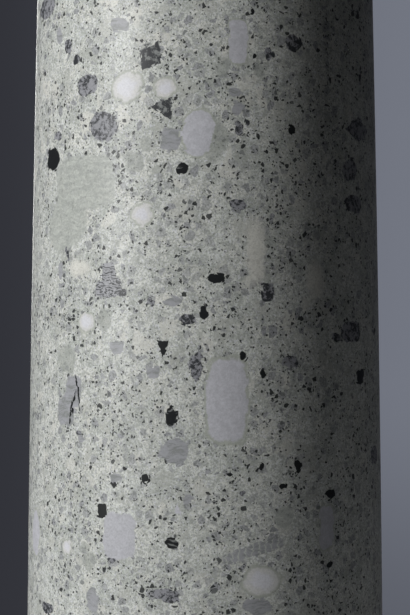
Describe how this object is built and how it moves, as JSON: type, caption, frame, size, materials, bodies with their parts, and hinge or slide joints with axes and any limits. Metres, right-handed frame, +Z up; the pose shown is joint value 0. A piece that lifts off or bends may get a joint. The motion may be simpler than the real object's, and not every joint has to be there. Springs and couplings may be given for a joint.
{
  "type": "pedestal column stand",
  "caption": "Round polished stone pedestal: a tapering shaft with a slight swelling between a base slab and a top slab, on screw-adjusted feet hidden underneath.",
  "frame": {"origin": "on the floor, at the middle of the column's footprint", "axes": "+Z up the column's axis, +X to the right, -Y towards the viewer"},
  "size_m": [0.35, 0.35, 1],
  "materials": {
    "stone": "gloss",
    "resin": "satin",
    "black_steel": "satin",
    "zinc_steel": "satin",
    "stainless_steel": "satin",
    "rubber": "matte"
  },
  "bodies": {
    "column": {"shaft": "stone", "top_slab": "stone", "base_slab": "stone", "top_joint_bed": "resin", "base_joint_bed": "resin", "top_dowel_1": "stainless_steel", "top_dowel_2": "stainless_steel", "top_dowel_3": "stainless_steel", "base_dowel_1": "stainless_steel", "base_dowel_2": "stainless_steel", "base_dowel_3": "stainless_steel", "base_dowel_4": "stainless_steel", "tie_rod": "zinc_steel", "tie_rod_socket": "black_steel", "yoke_gasket": "rubber", "yoke_plate": "black_steel", "tie_rod_washer": "zinc_steel", "tie_rod_nut": "zinc_steel", "tie_rod_lock_nut": "zinc_steel", "base_plate": "black_steel", "base_plate_gasket": "rubber", "front_right_foot_socket": "black_steel", "front_right_lock_nut": "zinc_steel", "back_right_foot_socket": "black_steel", "back_right_lock_nut": "zinc_steel", "back_left_foot_socket": "black_steel", "back_left_lock_nut": "zinc_steel", "front_left_foot_socket": "black_steel", "front_left_lock_nut": "zinc_steel"},
    "front_right_foot": {"front_right_pad": "black_steel", "front_right_sole": "rubber"},
    "front_right_screw": {"front_right_stud": "zinc_steel"},
    "back_right_foot": {"back_right_pad": "black_steel", "back_right_sole": "rubber"},
    "back_right_screw": {"back_right_stud": "zinc_steel"},
    "back_left_foot": {"back_left_pad": "black_steel", "back_left_sole": "rubber"},
    "back_left_screw": {"back_left_stud": "zinc_steel"},
    "front_left_foot": {"front_left_pad": "black_steel", "front_left_sole": "rubber"},
    "front_left_screw": {"front_left_stud": "zinc_steel"}
  },
  "joints": [
    {"name": "front_right_travel", "type": "slide", "parent": "column", "child": "front_right_foot", "axis": [0, 0, -1], "range_m": [0, 0.01225]},
    {"name": "front_right_turn", "type": "hinge", "parent": "front_right_foot", "child": "front_right_screw", "pos_m": [0.0792, -0.0792, 0.01], "axis": [0, 0, -1], "range_deg": [0, 2520.5]},
    {"name": "back_right_travel", "type": "slide", "parent": "column", "child": "back_right_foot", "axis": [0, 0, -1], "range_m": [0, 0.01225]},
    {"name": "back_right_turn", "type": "hinge", "parent": "back_right_foot", "child": "back_right_screw", "pos_m": [0.0792, 0.0792, 0.01], "axis": [0, 0, -1], "range_deg": [0, 2520.5]},
    {"name": "back_left_travel", "type": "slide", "parent": "column", "child": "back_left_foot", "axis": [0, 0, -1], "range_m": [0, 0.01225]},
    {"name": "back_left_turn", "type": "hinge", "parent": "back_left_foot", "child": "back_left_screw", "pos_m": [-0.0792, 0.0792, 0.01], "axis": [0, 0, -1], "range_deg": [0, 2520.5]},
    {"name": "front_left_travel", "type": "slide", "parent": "column", "child": "front_left_foot", "axis": [0, 0, -1], "range_m": [0, 0.01225]},
    {"name": "front_left_turn", "type": "hinge", "parent": "front_left_foot", "child": "front_left_screw", "pos_m": [-0.0792, -0.0792, 0.01], "axis": [0, 0, -1], "range_deg": [0, 2520.5]}
  ],
  "couplings": [
    {"joint": "front_right_turn", "follows": "front_right_travel", "rad_per_m": 3590.4},
    {"joint": "back_right_turn", "follows": "back_right_travel", "rad_per_m": 3590.4},
    {"joint": "back_left_turn", "follows": "back_left_travel", "rad_per_m": 3590.4},
    {"joint": "front_left_turn", "follows": "front_left_travel", "rad_per_m": 3590.4}
  ]
}
